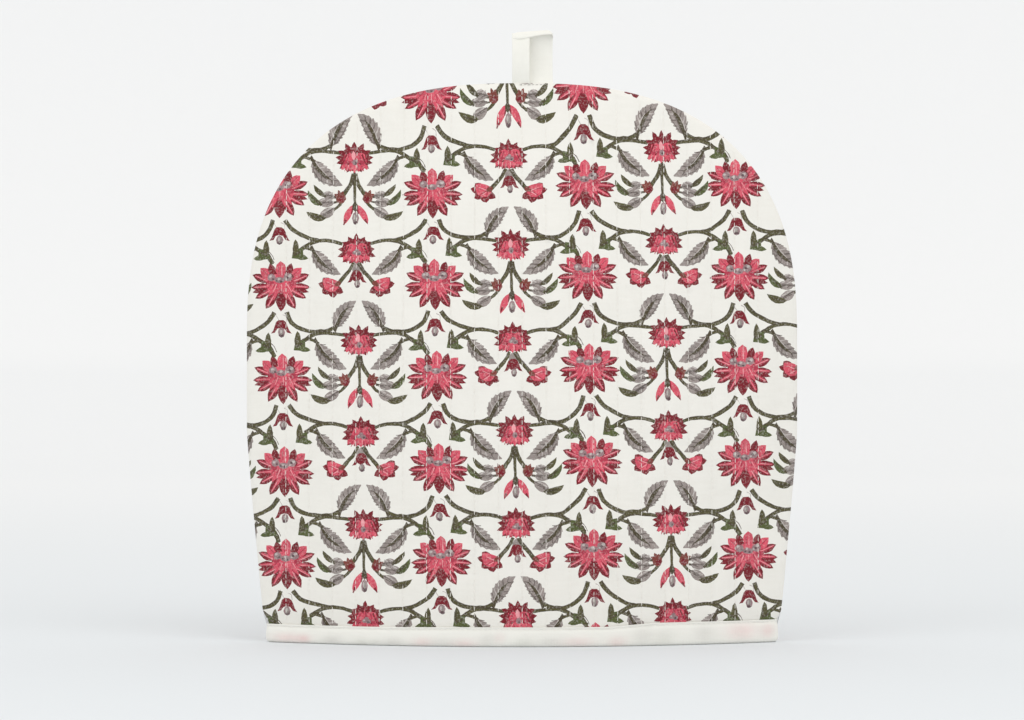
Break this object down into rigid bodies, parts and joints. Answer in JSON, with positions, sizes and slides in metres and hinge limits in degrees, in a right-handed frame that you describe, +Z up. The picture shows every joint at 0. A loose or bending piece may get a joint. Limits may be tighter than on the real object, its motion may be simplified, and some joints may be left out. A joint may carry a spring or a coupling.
{
  "type": "tea cosy",
  "caption": "Quilted cotton tea cosy with a rounded dome, a bound hem and a flat hanging loop, standing open on its hem.",
  "frame": {"origin": "middle of the mouth, on the surface that the hem stands on", "axes": "+Z up through the dome, +X to the right seen from the front, the front panel faces -Y"},
  "size_m": [0.33, 0.0938, 0.3663],
  "materials": {
    "printed_cotton": "block-printed white cotton with coral, maroon, olive and grey flowers, quilted in channels",
    "plain_cotton": "plain off-white woven cotton, matt"
  },
  "bodies": {
    "root": {"front_panel": "printed_cotton", "back_panel": "printed_cotton", "hem_binding": "plain_cotton", "hanging_loop": "plain_cotton"}
  },
  "joints": []
}
